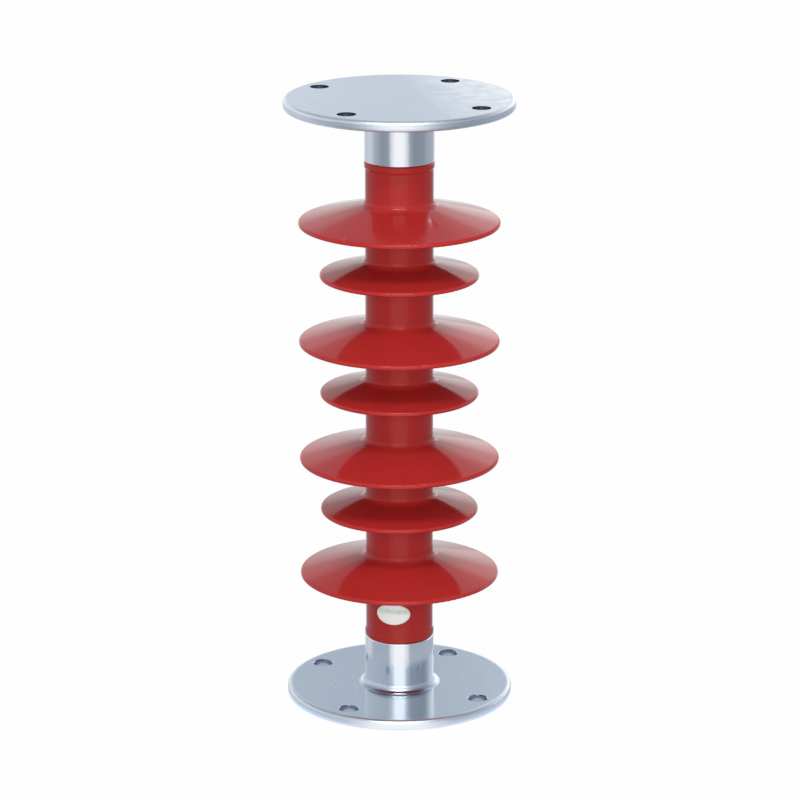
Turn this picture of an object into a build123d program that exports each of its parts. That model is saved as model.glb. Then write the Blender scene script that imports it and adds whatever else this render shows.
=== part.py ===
from build123d import *

import os
from math import radians, tan

# Composite line-post insulator: a glass-fibre rod in a one-piece silicone rubber
# housing with alternating sheds, held between two round metal flanges.
# The origin is the centre of the lower flange's seat and +Z runs up the rod.

# Flanges: a round plate and a collar in one casting, the same at both ends
flange_diameter = 170.0
flange_thickness = 8.0
flange_edge_round = 2.8
collar_wall = 6.0
collar_length = 39.0
collar_root_fillet = 5.0
collar_mouth_round = 1.2

# Bolt holes for M12 studs, set in from the flange's edge
bolt_edge_distance = 15.0
bolt_count = 4
bolt_hole_diameter = 14.0
bolt_angle = 45.0
bolt_hole_chamfer = 0.6

# Core rod, which is crimped in the two blind sockets
rod_diameter = 40.0
rod_chamfer = 1.0

# Seal ring in a recess at each collar's mouth, inside a land of the collar's wall
seal_depth = 4.0
seal_land = 3.0

# Housing: a sheath on the rod, with a lip that meets the collar at each end
sheath_thickness = 5.3
lip_step = 0.7
lip_length = 4.0
lip_blend = 1.5
lip_round = 0.7
lip_end_round = 0.8

# Sheds: a large one at each end and a small one between each two large ones
large_shed_diameter = 149.0
small_shed_diameter = 118.0
large_shed_count = 4
large_shed_pitch = 90.3
small_shed_drop = 39.8
lowest_shed_rise = 47.4
highest_shed_drop = 48.7
shed_rim_thickness = 3.5
shed_rim_round = 1.6
upper_slope = 14.7
lower_slope = 8.0
upper_root_fillet = 5.5
lower_root_fillet = 4.0

# Radii and heights that follow from the sizes above
rod_radius = rod_diameter / 2
collar_radius = rod_radius + collar_wall
seal_radius = collar_radius - seal_land
flange_radius = flange_diameter / 2
bolt_circle_radius = flange_radius - bolt_edge_distance
sheath_radius = rod_radius + sheath_thickness
lip_radius = sheath_radius + lip_step
housing_length = lowest_shed_rise + (large_shed_count - 1) * large_shed_pitch + highest_shed_drop
housing_bottom = flange_thickness + collar_length
housing_top = housing_bottom + housing_length
overall_height = housing_top + collar_length + flange_thickness
print(f"overall height {overall_height:.2f} mm, housing {housing_length:.2f} mm")


def shed_outline(rim_radius, underside_height):
    """Corners of one shed from its lower root to its upper root, with their fillets."""
    reach = rim_radius - sheath_radius
    rim_top = underside_height + shed_rim_thickness
    corners = [
        (sheath_radius, underside_height + reach * tan(radians(lower_slope))),
        (rim_radius, underside_height),
        (rim_radius, rim_top),
        (sheath_radius, rim_top + reach * tan(radians(upper_slope))),
    ]
    return corners, [lower_root_fillet, shed_rim_round, shed_rim_round, upper_root_fillet]


# Lower flange: its blind socket takes the rod and its mouth takes the seal ring
with BuildPart() as bottom_flange:
    with BuildSketch(Plane.XZ):
        with BuildLine():
            section = [
                (0, 0),
                (flange_radius, 0),
                (flange_radius, flange_thickness),
                (collar_radius, flange_thickness),
                (collar_radius, housing_bottom),
                (seal_radius, housing_bottom),
                (seal_radius, housing_bottom - seal_depth),
                (rod_radius, housing_bottom - seal_depth),
                (rod_radius, flange_thickness),
                (0, flange_thickness),
            ]
            rounds = [flange_edge_round, flange_edge_round, collar_root_fillet, collar_mouth_round]
            FilletPolyline(*section, radius=rounds + [0, 0, 0, 0])
            Line(section[-1], section[0])
        make_face()
    revolve(axis=Axis.Z)
    with BuildSketch():
        with PolarLocations(bolt_circle_radius, bolt_count, start_angle=bolt_angle):
            Circle(bolt_hole_diameter / 2)
    extrude(amount=flange_thickness, mode=Mode.SUBTRACT)
    hole_rims = bottom_flange.edges().filter_by(GeomType.CIRCLE).filter_by_position(
        Axis.Z, flange_thickness, flange_thickness
    )
    hole_rims = hole_rims.filter_by(lambda rim: abs(rim.radius - bolt_hole_diameter / 2) < 0.01)
    chamfer(hole_rims, bolt_hole_chamfer)
bottom_flange.part.label = "bottom_flange"

# Upper flange: the same casting turned over
with BuildPart() as top_flange:
    mirror(bottom_flange.part, about=Plane.XY.offset(overall_height / 2))
top_flange.part.label = "top_flange"

# Core rod, from one socket's floor to the other's
with BuildPart() as core_rod:
    with BuildSketch(Plane.XY.offset(flange_thickness)):
        Circle(rod_radius)
    extrude(amount=overall_height - 2 * flange_thickness)
    chamfer(core_rod.edges().filter_by(GeomType.CIRCLE), rod_chamfer)
core_rod.part.label = "core_rod"

# Housing: sheath, end lips and sheds are one moulding, turned from one outline
lip_corners = [
    (lip_radius, 0),
    (lip_radius, lip_length),
    (sheath_radius, lip_length + lip_blend),
]
lip_rounds = [lip_end_round, lip_round, lip_blend]
shed_heights = []
for pair in range(large_shed_count):
    rise = lowest_shed_rise + pair * large_shed_pitch
    shed_heights.append((large_shed_diameter / 2, rise))
    if pair < large_shed_count - 1:
        shed_heights.append((small_shed_diameter / 2, rise + large_shed_pitch - small_shed_drop))

outline = [(radius, housing_bottom + height) for radius, height in lip_corners]
outline_rounds = list(lip_rounds)
for rim_radius, rise in shed_heights:
    corners, fillets = shed_outline(rim_radius, housing_bottom + rise)
    outline += corners
    outline_rounds += fillets
outline += [(radius, housing_top - height) for radius, height in reversed(lip_corners)]
outline_rounds += reversed(lip_rounds)

with BuildPart() as silicone_housing:
    with BuildSketch(Plane.XZ):
        with BuildLine():
            inner_bottom = (rod_radius, housing_bottom)
            inner_top = (rod_radius, housing_top)
            FilletPolyline(inner_bottom, *outline, inner_top, radius=outline_rounds)
            Line(inner_top, inner_bottom)
        make_face()
    revolve(axis=Axis.Z)
silicone_housing.part.label = "silicone_housing"

# Seal rings, squeezed between the rod, the collar's recess and the housing's end
with BuildPart() as bottom_seal_ring:
    with BuildSketch(Plane.XY.offset(housing_bottom - seal_depth)):
        Circle(seal_radius)
        Circle(rod_radius, mode=Mode.SUBTRACT)
    extrude(amount=seal_depth)
bottom_seal_ring.part.label = "bottom_seal_ring"

with BuildPart() as top_seal_ring:
    mirror(bottom_seal_ring.part, about=Plane.XY.offset(overall_height / 2))
top_seal_ring.part.label = "top_seal_ring"

os.makedirs("parts", exist_ok=True)
export_step(core_rod.part, "parts/core_rod.step")
export_step(silicone_housing.part, "parts/silicone_housing.step")
export_step(bottom_flange.part, "parts/bottom_flange.step")
export_step(top_flange.part, "parts/top_flange.step")
export_step(bottom_seal_ring.part, "parts/bottom_seal_ring.step")
export_step(top_seal_ring.part, "parts/top_seal_ring.step")
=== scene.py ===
import math

import bmesh
import bpy
from mathutils import Matrix, Vector


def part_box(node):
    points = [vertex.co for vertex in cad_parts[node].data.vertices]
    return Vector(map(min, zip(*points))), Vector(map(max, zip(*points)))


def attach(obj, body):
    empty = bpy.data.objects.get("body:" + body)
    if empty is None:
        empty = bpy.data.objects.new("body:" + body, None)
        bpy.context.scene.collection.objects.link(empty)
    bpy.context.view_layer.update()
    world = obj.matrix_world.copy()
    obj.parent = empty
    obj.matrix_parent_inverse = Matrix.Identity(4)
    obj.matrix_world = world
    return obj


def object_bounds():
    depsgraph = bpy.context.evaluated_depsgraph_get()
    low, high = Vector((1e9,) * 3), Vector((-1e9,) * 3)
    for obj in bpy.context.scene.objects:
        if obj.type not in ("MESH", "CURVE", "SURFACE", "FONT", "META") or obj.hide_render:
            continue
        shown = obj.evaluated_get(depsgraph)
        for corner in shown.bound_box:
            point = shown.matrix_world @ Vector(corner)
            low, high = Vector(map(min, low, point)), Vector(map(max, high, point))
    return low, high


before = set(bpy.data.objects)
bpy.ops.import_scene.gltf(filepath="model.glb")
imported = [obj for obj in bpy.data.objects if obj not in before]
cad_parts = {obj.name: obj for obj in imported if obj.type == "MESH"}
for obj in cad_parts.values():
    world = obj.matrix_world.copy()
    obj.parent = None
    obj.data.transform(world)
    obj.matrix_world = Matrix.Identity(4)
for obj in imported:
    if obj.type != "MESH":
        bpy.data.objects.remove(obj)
cadLow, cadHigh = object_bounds()
print("frame loaded:", ", ".join(sorted(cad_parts)))

# sizes that the looks go by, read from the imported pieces
objectHeight = cadHigh.z
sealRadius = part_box("bottom_seal_ring")[1].x


# camera: it stands a little to the left of the front, above the object, and looks down
cameraSet = {
    "azimuth": -12.4,      # degrees from the front, towards +X
    "distance": 2.597,     # metres from the object's axis, along the floor
    "height": 1.0068,
    "pitch": 16.63,        # degrees down
    "pan": -0.01,
    "lens": 163.6,
    "sensor": 36.0,
}


def directionAt(azimuth, elevation=0.0):
    turn, rise = math.radians(azimuth), math.radians(elevation)
    return Vector((math.sin(turn) * math.cos(rise), -math.cos(turn) * math.cos(rise), math.sin(rise)))


def makeCamera():
    data = bpy.data.cameras.new("camera")
    data.lens = cameraSet["lens"]
    data.sensor_width = cameraSet["sensor"]
    data.clip_end = 50.0
    camera = bpy.data.objects.new("camera", data)
    bpy.context.scene.collection.objects.link(camera)
    place = directionAt(cameraSet["azimuth"]) * cameraSet["distance"]
    camera.location = (place.x, place.y, cameraSet["height"])
    camera.rotation_euler = (
        math.radians(90.0 - cameraSet["pitch"]),
        0.0,
        math.radians(cameraSet["azimuth"] + cameraSet["pan"]),
    )
    bpy.context.scene.camera = camera


makeCamera()
print("camera placed")


# small helpers for node trees

def newMaterial(name):
    material = bpy.data.materials.new(name)
    material.use_nodes = True
    material.node_tree.nodes.clear()
    return material


def addNode(tree, kind, inputs=None, **values):
    node = tree.nodes.new(kind)
    for key, value in values.items():
        setattr(node, key, value)
    for key, value in (inputs or {}).items():
        node.inputs[key].default_value = value
    return node


def link(tree, source, target):
    tree.links.new(source, target)


def mathNode(tree, operation, first, second=None, clamp=False):
    node = addNode(tree, "ShaderNodeMath", operation=operation, use_clamp=clamp)
    for socket, value in zip(node.inputs, (first, second)):
        if value is None:
            continue
        if isinstance(value, (int, float)):
            socket.default_value = value
        else:
            link(tree, value, socket)
    return node.outputs[0]


def mixColor(tree, factor, first, second, blend="MIX"):
    node = addNode(tree, "ShaderNodeMix", data_type="RGBA", blend_type=blend)
    for socket, value in ((node.inputs[0], factor), (node.inputs[6], first), (node.inputs[7], second)):
        if isinstance(value, bpy.types.NodeSocket):
            link(tree, value, socket)
        elif isinstance(value, (int, float)):
            socket.default_value = value
        else:
            socket.default_value = (*value, 1.0)
    return node.outputs[2]


def newGroup(name, inputs, outputs):
    group = bpy.data.node_groups.new(name, "ShaderNodeTree")
    for label, kind, value in inputs:
        socket = group.interface.new_socket(name=label, in_out="INPUT", socket_type=kind)
        if value is not None:
            socket.default_value = value
    for label, kind in outputs:
        group.interface.new_socket(name=label, in_out="OUTPUT", socket_type=kind)
    return group, addNode(group, "NodeGroupInput"), addNode(group, "NodeGroupOutput")


def useGroup(tree, group, **values):
    node = addNode(tree, "ShaderNodeGroup", node_tree=group)
    for key, value in values.items():
        node.inputs[key].default_value = value
    return node


# shared effect: soft cloudy mottle, in object space
def buildMottleGroup():
    group, inside, outside = newGroup(
        "mottle",
        [("Scale", "NodeSocketFloat", 40.0), ("Contrast", "NodeSocketFloat", 1.0)],
        [("Mask", "NodeSocketFloat"), ("Fine", "NodeSocketFloat")],
    )
    where = addNode(group, "ShaderNodeTexCoord")
    cloud = addNode(group, "ShaderNodeTexNoise", {"Detail": 4.0, "Roughness": 0.55})
    link(group, where.outputs["Object"], cloud.inputs["Vector"])
    link(group, inside.outputs["Scale"], cloud.inputs["Scale"])
    centred = mathNode(group, "SUBTRACT", cloud.outputs["Fac"], 0.5)
    stretched = mathNode(group, "MULTIPLY", centred, inside.outputs["Contrast"])
    link(group, mathNode(group, "ADD", stretched, 0.5, clamp=True), outside.inputs["Mask"])
    fine = addNode(group, "ShaderNodeTexNoise", {"Detail": 3.0, "Roughness": 0.7})
    link(group, where.outputs["Object"], fine.inputs["Vector"])
    link(group, mathNode(group, "MULTIPLY", inside.outputs["Scale"], 22.0), fine.inputs["Scale"])
    link(group, fine.outputs["Fac"], outside.inputs["Fine"])
    return group


# shared effect: distance from the object's axis and height, for pieces turned about it
def buildTurnedGroup():
    group, inside, outside = newGroup(
        "turnedPlace",
        [],
        [("Radius", "NodeSocketFloat"), ("Height", "NodeSocketFloat")],
    )
    where = addNode(group, "ShaderNodeTexCoord")
    split = addNode(group, "ShaderNodeSeparateXYZ")
    link(group, where.outputs["Object"], split.inputs[0])
    flat = addNode(group, "ShaderNodeCombineXYZ")
    link(group, split.outputs["X"], flat.inputs["X"])
    link(group, split.outputs["Y"], flat.inputs["Y"])
    length = addNode(group, "ShaderNodeVectorMath", operation="LENGTH")
    link(group, flat.outputs[0], length.inputs[0])
    link(group, length.outputs["Value"], outside.inputs["Radius"])
    link(group, split.outputs["Z"], outside.inputs["Height"])
    return group


mottleGroup = buildMottleGroup()
turnedGroup = buildTurnedGroup()


# silicone rubber
rubberSet = {
    "color": (0.445, 0.0265, 0.0240),
    "deepColor": (0.400, 0.0220, 0.0205),
    "ior": 1.31,
    "roughness": 0.08,
    "roughnessSpread": 0.06,
    "grainHeight": 0.00002,
    "grainStrength": 0.25,
    "mottleScale": 28.0,
    "mottleContrast": 1.6,
}


def rubberMaterial():
    material = newMaterial("housingRubber")
    tree = material.node_tree
    shader = addNode(tree, "ShaderNodeBsdfPrincipled", {"IOR": rubberSet["ior"]})
    out = addNode(tree, "ShaderNodeOutputMaterial")
    link(tree, shader.outputs[0], out.inputs[0])
    scale, contrast = rubberSet["mottleScale"], rubberSet["mottleContrast"]
    mottle = useGroup(tree, mottleGroup, Scale=scale, Contrast=contrast)
    color = mixColor(tree, mottle.outputs["Mask"], rubberSet["color"], rubberSet["deepColor"])
    link(tree, color, shader.inputs["Base Color"])
    spread = mathNode(tree, "MULTIPLY", mottle.outputs["Mask"], rubberSet["roughnessSpread"])
    link(tree, mathNode(tree, "ADD", spread, rubberSet["roughness"]), shader.inputs["Roughness"])
    bump = addNode(tree, "ShaderNodeBump", {
        "Strength": rubberSet["grainStrength"], "Distance": rubberSet["grainHeight"],
    })
    link(tree, mottle.outputs["Fine"], bump.inputs["Height"])
    link(tree, bump.outputs[0], shader.inputs["Normal"])
    return material


# zinc-coated flange: mottled plate with a painted sheen towards +X on the upper one, brighter polished
# collar, painted highlight on the plates' rounded edges, painted shade in the bolt holes
metalSet = {
    "plateColor": (0.520, 0.598, 0.680),
    "fleckColor": (0.66, 0.73, 0.80),
    "collarColor": (0.78, 0.80, 0.83),
    "sheenCloudColor": (0.86, 0.89, 0.93),
    "rimHighlightColor": (0.74, 0.79, 0.84),    # painted highlight: paler on the plates' rounded edges, where they catch the light
    "sheenCloudReach": (0.015, 0.055),      # painted sheen: the upper plate turns paler in clouds towards +X, where the brighter side of the room is mirrored; the clouds' pattern is the zinc's own mottle
    "sheenCloudScale": 75.0,
    "sheenCloudContrast": 5.0,
    "sheenCloudLift": 0.55,
    "sheenCloudShare": 0.62,
    "plateRoughness": 0.14,
    "collarRoughness": 0.15,
    "softRoughness": 0.38,     # on the root fillet and the plate's rounded edge
    "collarReach": 0.0262,     # the collar's finish ends at its root fillet
    "collarSharpness": 6000.0,
    "plateSharpness": 400.0,
    "flatReach": (0.0345, 0.0808),     # radii between which the plate is flat
    "flatFade": 0.0015,
    # painted shade: darker inside the bolt holes
    "holeShadeColor": (0.36, 0.40, 0.46),
    "holeCentre": 0.0495,      # of a bolt hole, along X and along Y
    "holeRadius": 0.0074,
    "holeSharpness": 3000.0,
    "mottleScale": 60.0,
    "mottleContrast": 2.0,
    "crystalScale": 380.0,
    "crystalReach": (0.80, 0.98),
    "roughnessGrain": 0.14,
    "waveHeight": 0.00022,     # slow unevenness of the dipped zinc
    "waveScale": 105.0,
    "waveStrength": 0.35,
    "plateThickness": 0.008,
}


# painted sheen: a paler cloudy patch on the upper plate towards +X, partly the zinc's own mottle and
# partly painted reflection of the room's brighter side
def sheenCloudMask(tree, place):
    where = addNode(tree, "ShaderNodeTexCoord")
    split = addNode(tree, "ShaderNodeSeparateXYZ")
    link(tree, where.outputs["Object"], split.inputs[0])
    side = addNode(tree, "ShaderNodeMapRange", {
        "From Min": metalSet["sheenCloudReach"][0], "From Max": metalSet["sheenCloudReach"][1],
    })
    link(tree, split.outputs["X"], side.inputs["Value"])
    upper = mathNode(tree, "GREATER_THAN", place.outputs["Height"], objectHeight / 2)
    scale, contrast = metalSet["sheenCloudScale"], metalSet["sheenCloudContrast"]
    cloud = useGroup(tree, mottleGroup, Scale=scale, Contrast=contrast)
    lifted = mathNode(tree, "ADD", cloud.outputs["Mask"], metalSet["sheenCloudLift"])
    soft = mathNode(tree, "MULTIPLY", lifted, metalSet["sheenCloudShare"])
    there = mathNode(tree, "MULTIPLY", side.outputs[0], upper)
    return mathNode(tree, "MULTIPLY", there, soft, clamp=True)


# painted shade: mask of the plate within each bolt hole's radius
def holeShadeMask(tree):
    where = addNode(tree, "ShaderNodeTexCoord")
    folded = addNode(tree, "ShaderNodeVectorMath", operation="ABSOLUTE")
    link(tree, where.outputs["Object"], folded.inputs[0])
    flat = addNode(tree, "ShaderNodeVectorMath", {1: (1.0, 1.0, 0.0)}, operation="MULTIPLY")
    link(tree, folded.outputs[0], flat.inputs[0])
    centre = metalSet["holeCentre"]
    reach = addNode(tree, "ShaderNodeVectorMath", {1: (centre, centre, 0.0)}, operation="DISTANCE")
    link(tree, flat.outputs[0], reach.inputs[0])
    gap = mathNode(tree, "SUBTRACT", metalSet["holeRadius"], reach.outputs["Value"])
    return mathNode(tree, "MULTIPLY", gap, metalSet["holeSharpness"], clamp=True)


def softMasks(tree, place, collar, offPlate):
    (inner, outer), fade = metalSet["flatReach"], metalSet["flatFade"]
    fillet = addNode(tree, "ShaderNodeMapRange", {"From Min": inner, "From Max": inner - fade})
    rim = addNode(tree, "ShaderNodeMapRange", {"From Min": outer, "From Max": outer + fade})
    for band in (fillet, rim):
        link(tree, place.outputs["Radius"], band.inputs["Value"])
    root = mathNode(tree, "MULTIPLY", fillet.outputs[0], offPlate)
    both = mathNode(tree, "MAXIMUM", root, rim.outputs[0])
    return mathNode(tree, "SUBTRACT", both, collar, clamp=True), rim.outputs[0]


def metalMaterial():
    material = newMaterial("flangeZinc")
    tree = material.node_tree
    shader = addNode(tree, "ShaderNodeBsdfPrincipled", {"Metallic": 1.0})
    out = addNode(tree, "ShaderNodeOutputMaterial")
    link(tree, shader.outputs[0], out.inputs[0])
    place = useGroup(tree, turnedGroup)
    scale, contrast = metalSet["mottleScale"], metalSet["mottleContrast"]
    mottle = useGroup(tree, mottleGroup, Scale=scale, Contrast=contrast)
    edge = mathNode(tree, "SUBTRACT", metalSet["collarReach"], place.outputs["Radius"])
    near = mathNode(tree, "MULTIPLY", edge, metalSet["collarSharpness"], clamp=True)
    rise = mathNode(tree, "SUBTRACT", place.outputs["Height"], objectHeight / 2)
    plateLevel = objectHeight / 2 - metalSet["plateThickness"]
    depth = mathNode(tree, "SUBTRACT", plateLevel, mathNode(tree, "ABSOLUTE", rise))
    inner = mathNode(tree, "MULTIPLY", depth, metalSet["plateSharpness"], clamp=True)
    collar = mathNode(tree, "MULTIPLY", near, inner)
    where = addNode(tree, "ShaderNodeTexCoord")
    crystals = addNode(tree, "ShaderNodeTexVoronoi", {
        "Scale": metalSet["crystalScale"], "Randomness": 1.0,
    })
    link(tree, where.outputs["Object"], crystals.inputs["Vector"])
    low, high = metalSet["crystalReach"]
    fleck = addNode(tree, "ShaderNodeMapRange", {"From Min": low, "From Max": high})
    link(tree, crystals.outputs["Color"], fleck.inputs["Value"])
    fleckAmount = mathNode(tree, "MULTIPLY", fleck.outputs[0], mottle.outputs["Mask"])
    plate = mixColor(tree, fleckAmount, metalSet["plateColor"], metalSet["fleckColor"])
    # painted sheen on the upper plate towards +X, over the zinc's own mottle
    plate = mixColor(tree, sheenCloudMask(tree, place), plate, metalSet["sheenCloudColor"])
    softness, rim = softMasks(tree, place, collar, inner)
    # painted highlight on the plates' rounded edges
    plate = mixColor(tree, rim, plate, metalSet["rimHighlightColor"])
    # painted shade inside the bolt holes
    plate = mixColor(tree, holeShadeMask(tree), plate, metalSet["holeShadeColor"])
    color = mixColor(tree, collar, plate, metalSet["collarColor"])
    link(tree, color, shader.inputs["Base Color"])
    rough = addNode(tree, "ShaderNodeMapRange", {
        "To Min": metalSet["plateRoughness"], "To Max": metalSet["collarRoughness"],
    })
    link(tree, collar, rough.inputs["Value"])
    soft = addNode(tree, "ShaderNodeMix", {3: metalSet["softRoughness"]}, data_type="FLOAT")
    link(tree, softness, soft.inputs[0])
    link(tree, rough.outputs[0], soft.inputs[2])
    centred = mathNode(tree, "SUBTRACT", mottle.outputs["Fine"], 0.5)
    grain = mathNode(tree, "MULTIPLY", centred, metalSet["roughnessGrain"])
    link(tree, mathNode(tree, "ADD", soft.outputs[0], grain, clamp=True), shader.inputs["Roughness"])
    bump = addNode(tree, "ShaderNodeBump", {
        "Strength": metalSet["waveStrength"], "Distance": metalSet["waveHeight"],
    })
    waves = useGroup(tree, mottleGroup, Scale=metalSet["waveScale"], Contrast=1.0)
    link(tree, waves.outputs["Mask"], bump.inputs["Height"])
    link(tree, bump.outputs[0], shader.inputs["Normal"])
    return material


# hidden pieces: black seal rings and the glass-fibre rod
sealSet = {
    "color": (0.02, 0.02, 0.022),
    "paleColor": (0.05, 0.048, 0.05),
    "roughness": 0.45,
    "roughnessSpread": 0.2,
    "mottleScale": 120.0,
    "mottleContrast": 1.5,
}
rodSet = {
    "color": (0.55, 0.60, 0.34),
    "paleColor": (0.70, 0.74, 0.50),
    "ior": 1.52,
    "roughness": 0.2,
    "roughnessSpread": 0.2,
    "fibreScale": (900.0, 900.0, 6.0),
}


def sealMaterial():
    material = newMaterial("sealRubber")
    tree = material.node_tree
    shader = addNode(tree, "ShaderNodeBsdfPrincipled")
    out = addNode(tree, "ShaderNodeOutputMaterial")
    link(tree, shader.outputs[0], out.inputs[0])
    scale, contrast = sealSet["mottleScale"], sealSet["mottleContrast"]
    mottle = useGroup(tree, mottleGroup, Scale=scale, Contrast=contrast)
    color = mixColor(tree, mottle.outputs["Mask"], sealSet["color"], sealSet["paleColor"])
    link(tree, color, shader.inputs["Base Color"])
    spread = mathNode(tree, "MULTIPLY", mottle.outputs["Mask"], sealSet["roughnessSpread"])
    link(tree, mathNode(tree, "ADD", spread, sealSet["roughness"]), shader.inputs["Roughness"])
    return material


def rodMaterial():
    material = newMaterial("glassFibreRod")
    tree = material.node_tree
    shader = addNode(tree, "ShaderNodeBsdfPrincipled", {"IOR": rodSet["ior"]})
    out = addNode(tree, "ShaderNodeOutputMaterial")
    link(tree, shader.outputs[0], out.inputs[0])
    where = addNode(tree, "ShaderNodeTexCoord")
    fibres = addNode(tree, "ShaderNodeMapping", {"Scale": rodSet["fibreScale"]})
    link(tree, where.outputs["Object"], fibres.inputs["Vector"])
    streaks = addNode(tree, "ShaderNodeTexNoise", {"Scale": 1.0, "Detail": 3.0})
    link(tree, fibres.outputs[0], streaks.inputs["Vector"])
    color = mixColor(tree, streaks.outputs["Fac"], rodSet["color"], rodSet["paleColor"])
    link(tree, color, shader.inputs["Base Color"])
    spread = mathNode(tree, "MULTIPLY", streaks.outputs["Fac"], rodSet["roughnessSpread"])
    link(tree, mathNode(tree, "ADD", spread, rodSet["roughness"]), shader.inputs["Roughness"])
    return material


def dressNodes():
    finishes = {
        "silicone_housing": rubberMaterial(),
        "bottom_flange": metalMaterial(),
        "core_rod": rodMaterial(),
        "bottom_seal_ring": sealMaterial(),
    }
    finishes["top_flange"] = finishes["bottom_flange"]
    finishes["top_seal_ring"] = finishes["bottom_seal_ring"]
    for name, material in finishes.items():
        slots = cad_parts[name].data.materials
        slots.clear()
        slots.append(material)


dressNodes()
print("materials set")


# oval paper label, bare, stuck round the lower end of the housing
labelSet = {
    "width": 0.0265,           # along the curve
    "height": 0.0162,
    "centreHeight": 0.0701,
    "azimuth": -23.6,
    "thickness": 0.00022,
    "lift": 0.00016,           # its back stands this far off the rubber
    "offSeal": 0.0023,         # the sheath's surface lies this far outside the seal ring
    "rings": 10,
    "edgeRound": 0.00008,
    "paper": (0.97, 0.98, 0.96),
    "tint": (0.36, 0.62, 0.42),
    "ior": 1.45,
    "roughness": 0.35,
    "rimReach": 0.12,          # the rim's tint, as a share of the half width
    "rimTint": 0.55,
    "bandRise": 0.0024,        # the soft band's middle, over the label's centre
    "bandReach": (0.0030, 0.0005),
    "bandTint": 0.85,
    "mottleScale": 220.0,
    "mottleContrast": 2.0,
    "grainHeight": 0.00004,
    "grainStrength": 0.15,
}


def makeLabel(sheathRadius):
    form = bmesh.new()
    rings, thickness = labelSet["rings"], labelSet["thickness"]
    line = [form.verts.new((ring / rings, 0.0, thickness)) for ring in range(rings + 1)]
    line += [form.verts.new((ring / rings, 0.0, 0.0)) for ring in range(rings, -1, -1)]
    for first, second in zip(line, line[1:]):
        form.edges.new((first, second))
    bmesh.ops.spin(
        form, geom=form.verts[:] + form.edges[:], cent=(0, 0, 0), axis=(0, 0, 1),
        angle=2.0 * math.pi, steps=72, use_merge=True,
    )
    bmesh.ops.remove_doubles(form, verts=form.verts, dist=0.000001)
    half = Vector((labelSet["width"] / 2, labelSet["height"] / 2, 1.0))
    bmesh.ops.scale(form, vec=half, verts=form.verts)

    def outwards(vert):
        return Vector((vert.co.x / half.x, vert.co.y / half.y)).length

    outer = {vert for vert in form.verts if outwards(vert) > 0.999 and vert.co.z > thickness / 2}
    rim = [edge for edge in form.edges if outer.issuperset(edge.verts)]
    bmesh.ops.bevel(
        form, geom=rim, offset=labelSet["edgeRound"], offset_type="OFFSET", segments=2,
        profile=0.5, material=-1, affect="EDGES",
    )
    toEdge = form.verts.layers.float.new("toEdge")
    for vert in form.verts:
        vert[toEdge] = 1.0 - outwards(vert)
    back = sheathRadius + labelSet["lift"]
    for vert in form.verts:      # wrapped round the sheath
        out = directionAt(labelSet["azimuth"] + math.degrees(vert.co.x / back))
        spot = out * (back + vert.co.z)
        vert.co = (spot.x, spot.y, labelSet["centreHeight"] + vert.co.y)
    bmesh.ops.recalc_face_normals(form, faces=form.faces)
    mesh = bpy.data.meshes.new("oval_label")
    form.to_mesh(mesh)
    form.free()
    for face in mesh.polygons:
        face.use_smooth = True
    label = bpy.data.objects.new("oval_label", mesh)
    bpy.context.scene.collection.objects.link(label)
    mesh.materials.append(labelMaterial())
    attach(label, "root")
    return label


def labelMaterial():
    material = newMaterial("labelPaper")
    tree = material.node_tree
    shader = addNode(tree, "ShaderNodeBsdfPrincipled", {
        "IOR": labelSet["ior"], "Roughness": labelSet["roughness"],
    })
    out = addNode(tree, "ShaderNodeOutputMaterial")
    link(tree, shader.outputs[0], out.inputs[0])
    edge = addNode(tree, "ShaderNodeAttribute", attribute_name="toEdge")
    scale, contrast = labelSet["mottleScale"], labelSet["mottleContrast"]
    mottle = useGroup(tree, mottleGroup, Scale=scale, Contrast=contrast)
    rim = addNode(tree, "ShaderNodeMapRange", {
        "From Min": labelSet["rimReach"], "From Max": 0.0, "To Max": labelSet["rimTint"],
    })
    link(tree, edge.outputs["Fac"], rim.inputs["Value"])
    place = useGroup(tree, turnedGroup)
    bandHeight = labelSet["centreHeight"] + labelSet["bandRise"]
    rise = mathNode(tree, "SUBTRACT", place.outputs["Height"], bandHeight)
    far, close = labelSet["bandReach"]
    band = addNode(tree, "ShaderNodeMapRange", {
        "From Min": far, "From Max": close, "To Max": labelSet["bandTint"],
    })
    link(tree, mathNode(tree, "ABSOLUTE", rise), band.inputs["Value"])
    patchy = mathNode(tree, "MULTIPLY", band.outputs[0], mottle.outputs["Mask"])
    tint = mathNode(tree, "MAXIMUM", rim.outputs[0], patchy)
    link(tree, mixColor(tree, tint, labelSet["paper"], labelSet["tint"]), shader.inputs["Base Color"])
    bump = addNode(tree, "ShaderNodeBump", {
        "Strength": labelSet["grainStrength"], "Distance": labelSet["grainHeight"],
    })
    link(tree, mottle.outputs["Fine"], bump.inputs["Height"])
    link(tree, bump.outputs[0], shader.inputs["Normal"])
    return material


makeLabel(sealRadius + labelSet["offSeal"])
print("label made")


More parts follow.
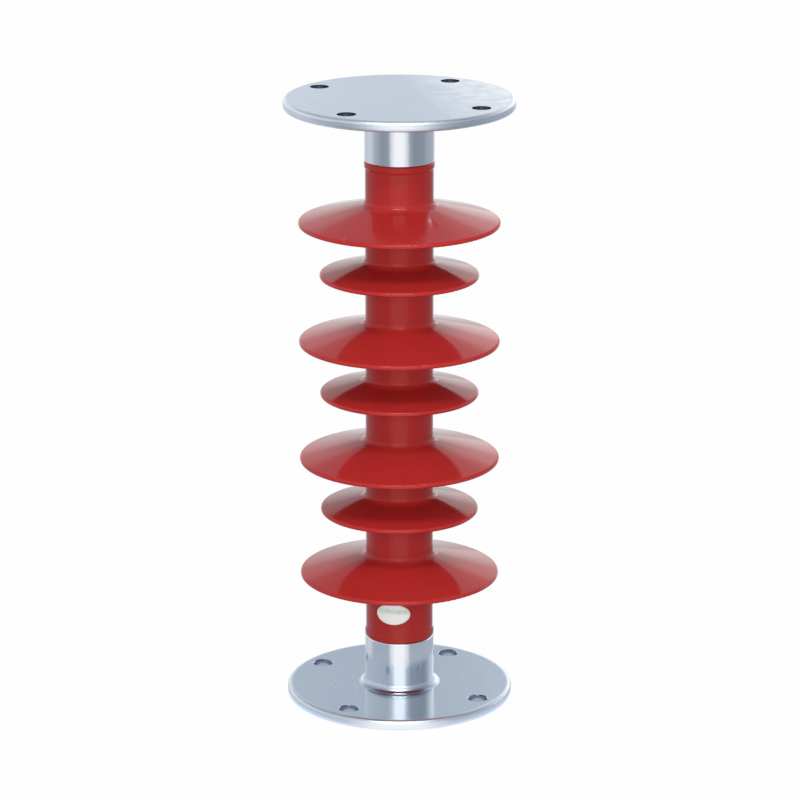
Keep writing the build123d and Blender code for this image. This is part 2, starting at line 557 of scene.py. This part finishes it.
# studio: what shiny surfaces mirror, by direction from the object
# each stop of a ring is degrees from the camera's side, positive to its right, and a level
studioSet = {
    "lowRing": (        # at the floor's level, for upright faces
        (-180, 1.00), (-158, 0.95), (-138, 0.66), (-110, 0.76), (-80, 0.47), (-56, 0.34),
        (-36, 0.38), (-25, 0.90),
        (-12, 1.14), (12, 1.14), (24, 0.90), (36, 0.40), (52, 0.32), (80, 0.34),
        (108, 0.46), (138, 0.50),
        (158, 0.95), (180, 1.00),
    ),
    "highRing": (       # above it, for the plates and the tops of the sheds
        (-180, 0.88), (-174, 1.15), (-164, 1.32), (-140, 1.15), (-90, 1.10), (-40, 1.0), (-26, 1.25),
        (-13, 2.4), (13, 2.4), (26, 1.1), (40, 0.68), (90, 0.62), (140, 1.45),
        (166, 2.00), (174, 1.60), (180, 0.86),
    ),
    "rise": ((0.0, 0.0), (0.06, 1.0)),      # where the low ring gives way to the high one
    "fall": (
        (0.0, 1.0), (0.21, 1.0), (0.25, 0.88), (0.29, 0.73), (0.40, 0.79), (0.50, 0.47), (0.80, 0.38),
    ),
    "brightest": 3.0,          # level that the rings' white stands for
    "coolTint": (0.89, 1.0, 1.19),      # of what is dim in the room
    "coolReach": (0.3, 1.13),  # levels between which the tint fades out
    "diffuseLevel": 0.66,      # even world light on matte surfaces
    "keyPower": 9.5,
    "keyElevation": 49.0,
    "keyDistance": 1.6,
    "keySize": (0.9, 0.26),
    "fillPower": 18.0,
    "fillElevation": 14.0,
    "fillDistance": 2.4,
    "fillSize": (1.8, 0.9),
}
floorSet = {
    "size": 12.0,
    "color": (0.66, 0.66, 0.66),
    "whiteShare": 0.975,
    "drop": 0.0004,
    # least level that the floor mirrors, by distance from the object's axis in half metres
    "nearLevels": ((0.0, 1.0), (0.17, 1.0), (0.20, 0.53), (0.40, 0.44), (0.70, 0.0)),
}


def levelRamp(tree, factor, stops, brightest):
    ramp = addNode(tree, "ShaderNodeValToRGB")
    ramp.color_ramp.interpolation = "EASE"
    elements = ramp.color_ramp.elements
    while len(elements) > 1:
        elements.remove(elements[-1])
    for index, (place, level) in enumerate(stops):
        stop = elements[0] if index == 0 else elements.new(place)
        stop.position = place
        stop.color = (*[level / brightest] * 3, 1.0)
    link(tree, factor, ramp.inputs[0])
    return mathNode(tree, "MULTIPLY", ramp.outputs[0], brightest)


def buildStudioGroup():
    group, inside, outside = newGroup(
        "studioLevel",
        [("Direction", "NodeSocketVector", None)],
        [("Level", "NodeSocketFloat"), ("Tint", "NodeSocketColor")],
    )
    unit = addNode(group, "ShaderNodeVectorMath", operation="NORMALIZE")
    link(group, inside.outputs[0], unit.inputs[0])
    toCamera = directionAt(cameraSet["azimuth"])
    toRight = Vector((-toCamera.y, toCamera.x, 0.0))
    parts = []
    for axis in (toCamera, toRight):
        dot = addNode(group, "ShaderNodeVectorMath", operation="DOT_PRODUCT")
        link(group, unit.outputs[0], dot.inputs[0])
        dot.inputs[1].default_value = axis
        parts.append(dot.outputs["Value"])
    turn = mathNode(group, "ARCTAN2", parts[1], parts[0])
    around = mathNode(group, "ADD", mathNode(group, "DIVIDE", turn, 2.0 * math.pi), 0.5)
    rings = []
    for name in ("lowRing", "highRing"):
        stops = [(angle / 360.0 + 0.5, level) for angle, level in studioSet[name]]
        rings.append(levelRamp(group, around, stops, studioSet["brightest"]))
    split = addNode(group, "ShaderNodeSeparateXYZ")
    link(group, unit.outputs[0], split.inputs[0])
    ring = addNode(group, "ShaderNodeMix", data_type="FLOAT")
    link(group, levelRamp(group, split.outputs["Z"], studioSet["rise"], 1.0), ring.inputs[0])
    link(group, rings[0], ring.inputs[2])
    link(group, rings[1], ring.inputs[3])
    fall = levelRamp(group, split.outputs["Z"], studioSet["fall"], 1.0)
    level = mathNode(group, "MULTIPLY", ring.outputs[0], fall)
    link(group, level, outside.inputs[0])
    low, high = studioSet["coolReach"]
    bright = addNode(group, "ShaderNodeMapRange", {"From Min": low, "From Max": high})
    link(group, level, bright.inputs["Value"])
    tint = mixColor(group, bright.outputs[0], studioSet["coolTint"], (1.0, 1.0, 1.0))
    link(group, tint, outside.inputs[1])
    return group


studioGroup = buildStudioGroup()


def makeWorld():
    world = bpy.data.worlds.new("studio")
    bpy.context.scene.world = world
    world.use_nodes = True
    tree = world.node_tree
    tree.nodes.clear()
    where = addNode(tree, "ShaderNodeTexCoord")
    studio = useGroup(tree, studioGroup)
    link(tree, where.outputs["Generated"], studio.inputs[0])
    path = addNode(tree, "ShaderNodeLightPath")
    level = addNode(tree, "ShaderNodeMix", {2: studioSet["diffuseLevel"]}, data_type="FLOAT")
    link(tree, path.outputs["Is Glossy Ray"], level.inputs[0])
    link(tree, studio.outputs[0], level.inputs[3])
    soft = addNode(tree, "ShaderNodeBackground")
    link(tree, level.outputs[0], soft.inputs["Strength"])
    tint = mixColor(tree, path.outputs["Is Glossy Ray"], (1.0, 1.0, 1.0), studio.outputs["Tint"])
    link(tree, tint, soft.inputs["Color"])
    white = addNode(tree, "ShaderNodeBackground", {"Color": (1.0, 1.0, 1.0, 1.0), "Strength": 1.0})
    blend = addNode(tree, "ShaderNodeMixShader")
    link(tree, path.outputs["Is Camera Ray"], blend.inputs[0])
    link(tree, soft.outputs[0], blend.inputs[1])
    link(tree, white.outputs[0], blend.inputs[2])
    out = addNode(tree, "ShaderNodeOutputWorld")
    link(tree, blend.outputs[0], out.inputs[0])


# floor: pale, nearly white where the camera sees it, with the object's soft shadow
def makeFloor():
    mesh = bpy.data.meshes.new("floor")
    form = bmesh.new()
    bmesh.ops.create_grid(form, x_segments=1, y_segments=1, size=floorSet["size"] / 2)
    bmesh.ops.translate(form, vec=(0.0, 0.0, -floorSet["drop"]), verts=form.verts)
    form.to_mesh(mesh)
    form.free()
    floor = bpy.data.objects.new("floor", mesh)
    bpy.context.scene.collection.objects.link(floor)
    material = newMaterial("floorPale")
    tree = material.node_tree
    matte = addNode(tree, "ShaderNodeBsdfDiffuse", {"Color": (*floorSet["color"], 1.0)})
    white = addNode(tree, "ShaderNodeEmission", {"Color": (1.0, 1.0, 1.0, 1.0), "Strength": 1.0})
    path = addNode(tree, "ShaderNodeLightPath")
    seen = addNode(tree, "ShaderNodeMixShader")
    share = mathNode(tree, "MULTIPLY", path.outputs["Is Camera Ray"], floorSet["whiteShare"])
    link(tree, share, seen.inputs[0])
    link(tree, matte.outputs[0], seen.inputs[1])
    link(tree, white.outputs[0], seen.inputs[2])
    where = addNode(tree, "ShaderNodeTexCoord")
    studio = useGroup(tree, studioGroup)
    link(tree, where.outputs["Object"], studio.inputs[0])
    mirrored = addNode(tree, "ShaderNodeEmission")
    link(tree, studio.outputs["Tint"], mirrored.inputs["Color"])
    place = useGroup(tree, turnedGroup)
    reach = mathNode(tree, "MULTIPLY", place.outputs["Radius"], 2.0, clamp=True)
    near = levelRamp(tree, reach, floorSet["nearLevels"], 1.0)
    link(tree, mathNode(tree, "MAXIMUM", studio.outputs[0], near), mirrored.inputs["Strength"])
    blend = addNode(tree, "ShaderNodeMixShader")
    link(tree, path.outputs["Is Glossy Ray"], blend.inputs[0])
    link(tree, seen.outputs[0], blend.inputs[1])
    link(tree, mirrored.outputs[0], blend.inputs[2])
    clear = addNode(tree, "ShaderNodeBsdfTransparent")
    side = addNode(tree, "ShaderNodeNewGeometry")
    below = addNode(tree, "ShaderNodeMixShader")      # open from underneath
    link(tree, side.outputs["Backfacing"], below.inputs[0])
    link(tree, blend.outputs[0], below.inputs[1])
    link(tree, clear.outputs[0], below.inputs[2])
    out = addNode(tree, "ShaderNodeOutputMaterial")
    link(tree, below.outputs[0], out.inputs[0])
    mesh.materials.append(material)


def makeLamp(name, azimuth, aim):
    data = bpy.data.lights.new(name + "Lamp", "AREA")
    data.shape = "RECTANGLE"
    data.size, data.size_y = studioSet[name + "Size"]
    data.energy = studioSet[name + "Power"]
    lamp = bpy.data.objects.new(name + "Lamp", data)
    bpy.context.scene.collection.objects.link(lamp)
    target = Vector((0, 0, aim))
    outwards = directionAt(azimuth, studioSet[name + "Elevation"])
    lamp.location = target + outwards * studioSet[name + "Distance"]
    lamp.rotation_euler = (target - lamp.location).to_track_quat("-Z", "Y").to_euler()
    return lamp


makeFloor()
makeWorld()
makeLamp("key", cameraSet["azimuth"], objectHeight * 0.5)
fill = makeLamp("fill", cameraSet["azimuth"], objectHeight * 0.5)
fill.visible_glossy = False      # the rings stand for it in reflections
bpy.context.scene.view_settings.view_transform = "Standard"
print("studio set")
